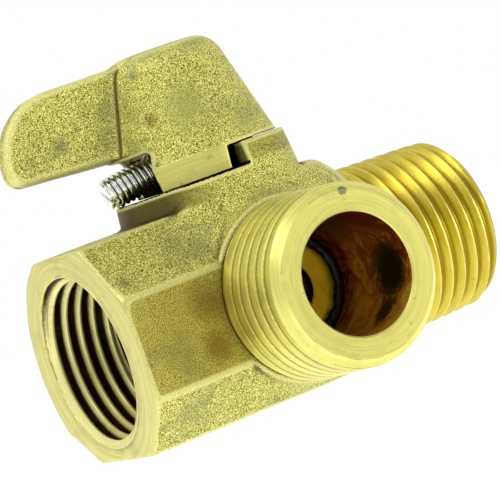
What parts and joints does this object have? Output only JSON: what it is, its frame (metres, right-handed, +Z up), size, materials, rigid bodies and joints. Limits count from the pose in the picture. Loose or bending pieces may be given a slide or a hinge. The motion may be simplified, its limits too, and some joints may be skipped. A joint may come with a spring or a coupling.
{
  "type": "three-port quarter-turn valve",
  "caption": "Small brass tee valve with a female port, an in-line male port, a side male branch and a short lever handle.",
  "frame": {"origin": "point where the axis of the run, the axis of the branch and the axis of the stem cross", "axes": "+X along the run towards the male end, -Y along the branch towards its mouth, +Z up the stem towards the handle"},
  "size_m": [0.0513, 0.0402, 0.0429],
  "materials": {
    "cast_brass": "sand-blasted casting, with turned threads and faces",
    "machined_brass": "turned",
    "chrome": "polished plating",
    "ptfe": "moulded, matt",
    "rubber": "matt",
    "zinc": "bright zinc plate"
  },
  "bodies": {
    "body": {"valve_body": "cast_brass", "seat_male_side": "ptfe", "seat_female_side": "ptfe", "seat_retainer": "machined_brass", "stem_thrust_washer": "ptfe", "branch_gasket": "rubber"},
    "handle": {"handle": "cast_brass", "handle_set_screw": "zinc", "stem": "machined_brass", "stem_o_ring_lower": "rubber", "stem_o_ring_upper": "rubber"},
    "ball": {"ball": "chrome"}
  },
  "joints": [
    {"name": "handle_turn", "type": "hinge", "parent": "body", "child": "handle", "pos_m": [0, 0, 0], "axis": [0, 0, 1], "range_deg": [-82, 8]},
    {"name": "ball_turn", "type": "hinge", "parent": "body", "child": "ball", "pos_m": [0, 0, 0], "axis": [0, 0, 1], "range_deg": [-82, 8]}
  ],
  "couplings": [
    {"joint": "ball_turn", "follows": "handle_turn", "ratio": 1}
  ]
}
